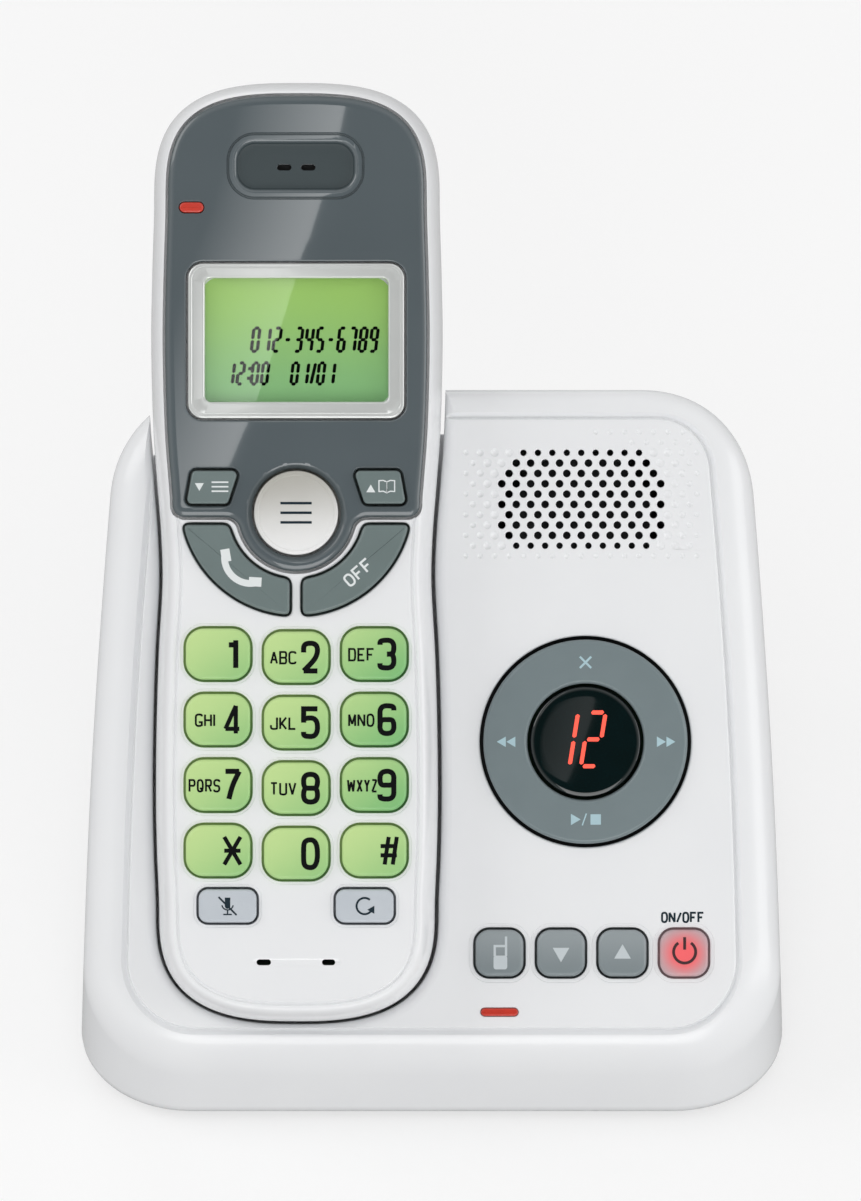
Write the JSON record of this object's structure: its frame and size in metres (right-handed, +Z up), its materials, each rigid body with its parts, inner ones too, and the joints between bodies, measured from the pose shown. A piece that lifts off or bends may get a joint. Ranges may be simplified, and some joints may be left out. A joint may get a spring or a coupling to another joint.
{
  "type": "cordless telephone",
  "caption": "Cordless telephone handset with keypad and display, docked in a sloped answering base with a speaker grille and a rocker ring round a small display.",
  "frame": {"origin": "centre of the bounding box, on the table under the feet", "axes": "+X to the right, -Y is the front, +Z up; the object is longest from front to back"},
  "size_m": [0.1186, 0.1362, 0.1229],
  "materials": {
    "white_shell": "glossy white moulding",
    "grey_gloss": "high gloss dark grey",
    "grey_key": "satin grey-green",
    "silver": "silver paint",
    "clear_lens": "clear window",
    "green_display": "backlit green",
    "green_key": "translucent green, backlit",
    "pale_key": "satin pale blue-grey",
    "red_light": "translucent red",
    "red_key": "backlit red",
    "black_glass": "black window",
    "black_plastic": "black moulding",
    "grey_rubber": "moulded rubber",
    "board_green": "printed circuit board",
    "battery_wrap": "shrink wrap round three cells",
    "steel": "bright steel",
    "gold_contact": "plated contact"
  },
  "bodies": {
    "base": {"base_upper_housing": "white_shell", "base_bottom_cover": "white_shell", "base_speaker": "black_plastic", "message_display_window": "black_glass", "message_display_module": "black_plastic", "in_use_light": "red_light", "base_button_mat": "grey_rubber", "base_circuit_board": "board_green", "line_jack": "black_plastic", "power_jack": "black_plastic", "rubber_foot_front_left": "grey_rubber", "rubber_foot_front_right": "grey_rubber", "rubber_foot_back_left": "grey_rubber", "rubber_foot_back_right": "grey_rubber", "base_screw_front": "steel", "base_screw_back": "steel"},
    "handset": {"handset_front_housing": "white_shell", "handset_rear_housing": "white_shell", "earpiece_faceplate": "grey_gloss", "display_lens": "clear_lens", "lcd_module": "green_display", "charge_light": "red_light", "earpiece_receiver": "black_plastic", "microphone": "black_plastic", "handset_key_mat": "grey_rubber", "handset_circuit_board": "board_green", "battery_pack": "battery_wrap", "handset_charge_contact_left": "gold_contact", "handset_charge_contact_right": "gold_contact", "handset_screw_left": "steel", "handset_screw_right": "steel"},
    "key_1": {"key_1": "green_key"},
    "key_2": {"key_2": "green_key"},
    "key_3": {"key_3": "green_key"},
    "key_4": {"key_4": "green_key"},
    "key_5": {"key_5": "green_key"},
    "key_6": {"key_6": "green_key"},
    "key_7": {"key_7": "green_key"},
    "key_8": {"key_8": "green_key"},
    "key_9": {"key_9": "green_key"},
    "key_star": {"key_star": "green_key"},
    "key_0": {"key_0": "green_key"},
    "key_pound": {"key_pound": "green_key"},
    "mute_key": {"mute_key": "pale_key"},
    "redial_key": {"redial_key": "pale_key"},
    "talk_key": {"talk_key": "grey_key"},
    "off_key": {"off_key": "grey_key"},
    "menu_button": {"menu_button": "silver"},
    "directory_key": {"directory_key": "grey_key"},
    "call_list_key": {"call_list_key": "grey_key"},
    "find_handset_button": {"find_handset_button": "grey_key"},
    "volume_down_button": {"volume_down_button": "grey_key"},
    "volume_up_button": {"volume_up_button": "grey_key"},
    "answer_on_off_button": {"answer_on_off_button": "red_key"},
    "battery_door": {"battery_door": "white_shell"},
    "ring_carrier": {"ring_carrier": "black_plastic"},
    "ring_button": {"ring_button": "grey_key"},
    "cradle_contact_left": {"cradle_contact_left": "gold_contact"},
    "cradle_contact_right": {"cradle_contact_right": "gold_contact"}
  },
  "joints": [
    {"name": "handset_lift", "type": "slide", "parent": "base", "child": "handset", "axis": [0, -0.5736, 0.8192], "range_m": [0, 0.06]},
    {"name": "key_1_press", "type": "slide", "parent": "handset", "child": "key_1", "axis": [0, 0.5736, -0.8192], "range_m": [0, 0.0008], "stiffness_N_per_m": 500},
    {"name": "key_2_press", "type": "slide", "parent": "handset", "child": "key_2", "axis": [0, 0.5736, -0.8192], "range_m": [0, 0.0008], "stiffness_N_per_m": 500},
    {"name": "key_3_press", "type": "slide", "parent": "handset", "child": "key_3", "axis": [0, 0.5736, -0.8192], "range_m": [0, 0.0008], "stiffness_N_per_m": 500},
    {"name": "key_4_press", "type": "slide", "parent": "handset", "child": "key_4", "axis": [0, 0.5736, -0.8192], "range_m": [0, 0.0008], "stiffness_N_per_m": 500},
    {"name": "key_5_press", "type": "slide", "parent": "handset", "child": "key_5", "axis": [0, 0.5736, -0.8192], "range_m": [0, 0.0008], "stiffness_N_per_m": 500},
    {"name": "key_6_press", "type": "slide", "parent": "handset", "child": "key_6", "axis": [0, 0.5736, -0.8192], "range_m": [0, 0.0008], "stiffness_N_per_m": 500},
    {"name": "key_7_press", "type": "slide", "parent": "handset", "child": "key_7", "axis": [0, 0.5736, -0.8192], "range_m": [0, 0.0008], "stiffness_N_per_m": 500},
    {"name": "key_8_press", "type": "slide", "parent": "handset", "child": "key_8", "axis": [0, 0.5736, -0.8192], "range_m": [0, 0.0008], "stiffness_N_per_m": 500},
    {"name": "key_9_press", "type": "slide", "parent": "handset", "child": "key_9", "axis": [0, 0.5736, -0.8192], "range_m": [0, 0.0008], "stiffness_N_per_m": 500},
    {"name": "key_star_press", "type": "slide", "parent": "handset", "child": "key_star", "axis": [0, 0.5736, -0.8192], "range_m": [0, 0.0008], "stiffness_N_per_m": 500},
    {"name": "key_0_press", "type": "slide", "parent": "handset", "child": "key_0", "axis": [0, 0.5736, -0.8192], "range_m": [0, 0.0008], "stiffness_N_per_m": 500},
    {"name": "key_pound_press", "type": "slide", "parent": "handset", "child": "key_pound", "axis": [0, 0.5736, -0.8192], "range_m": [0, 0.0008], "stiffness_N_per_m": 500},
    {"name": "mute_key_press", "type": "slide", "parent": "handset", "child": "mute_key", "axis": [0, 0.5736, -0.8192], "range_m": [0, 0.0008], "stiffness_N_per_m": 500},
    {"name": "redial_key_press", "type": "slide", "parent": "handset", "child": "redial_key", "axis": [0, 0.5736, -0.8192], "range_m": [0, 0.0008], "stiffness_N_per_m": 500},
    {"name": "talk_key_press", "type": "slide", "parent": "handset", "child": "talk_key", "axis": [0, 0.5736, -0.8192], "range_m": [0, 0.0008], "stiffness_N_per_m": 500},
    {"name": "off_key_press", "type": "slide", "parent": "handset", "child": "off_key", "axis": [0, 0.5736, -0.8192], "range_m": [0, 0.0008], "stiffness_N_per_m": 500},
    {"name": "menu_button_press", "type": "slide", "parent": "handset", "child": "menu_button", "axis": [0, 0.5736, -0.8192], "range_m": [0, 0.0008], "stiffness_N_per_m": 500},
    {"name": "directory_key_press", "type": "slide", "parent": "handset", "child": "directory_key", "axis": [0, 0.5736, -0.8192], "range_m": [0, 0.0008], "stiffness_N_per_m": 500},
    {"name": "call_list_key_press", "type": "slide", "parent": "handset", "child": "call_list_key", "axis": [0, 0.5736, -0.8192], "range_m": [0, 0.0008], "stiffness_N_per_m": 500},
    {"name": "find_handset_button_press", "type": "slide", "parent": "base", "child": "find_handset_button", "axis": [0, 0.5736, -0.8192], "range_m": [0, 0.0008], "stiffness_N_per_m": 500},
    {"name": "volume_down_button_press", "type": "slide", "parent": "base", "child": "volume_down_button", "axis": [0, 0.5736, -0.8192], "range_m": [0, 0.0008], "stiffness_N_per_m": 500},
    {"name": "volume_up_button_press", "type": "slide", "parent": "base", "child": "volume_up_button", "axis": [0, 0.5736, -0.8192], "range_m": [0, 0.0008], "stiffness_N_per_m": 500},
    {"name": "answer_on_off_button_press", "type": "slide", "parent": "base", "child": "answer_on_off_button", "axis": [0, 0.5736, -0.8192], "range_m": [0, 0.0008], "stiffness_N_per_m": 500},
    {"name": "ring_tilt_up_down", "type": "hinge", "parent": "base", "child": "ring_carrier", "pos_m": [0.0257, -0.02416, 0.04988], "axis": [1, 0, 0], "range_deg": [-1.5, 1.5], "stiffness_Nm_per_rad": 0.5},
    {"name": "ring_tilt_sideways", "type": "hinge", "parent": "ring_carrier", "child": "ring_button", "pos_m": [0.0257, -0.02416, 0.04988], "axis": [0, 0.8192, 0.5736], "range_deg": [-1.5, 1.5], "stiffness_Nm_per_rad": 0.5},
    {"name": "battery_door_slide", "type": "slide", "parent": "handset", "child": "battery_door", "axis": [0, 0.8192, 0.5736], "range_m": [0, 0.01]},
    {"name": "cradle_contact_left_press", "type": "slide", "parent": "base", "child": "cradle_contact_left", "axis": [0, 0.5736, -0.8192], "range_m": [0, 0.0006], "stiffness_N_per_m": 300},
    {"name": "cradle_contact_right_press", "type": "slide", "parent": "base", "child": "cradle_contact_right", "axis": [0, 0.5736, -0.8192], "range_m": [0, 0.0006], "stiffness_N_per_m": 300}
  ]
}
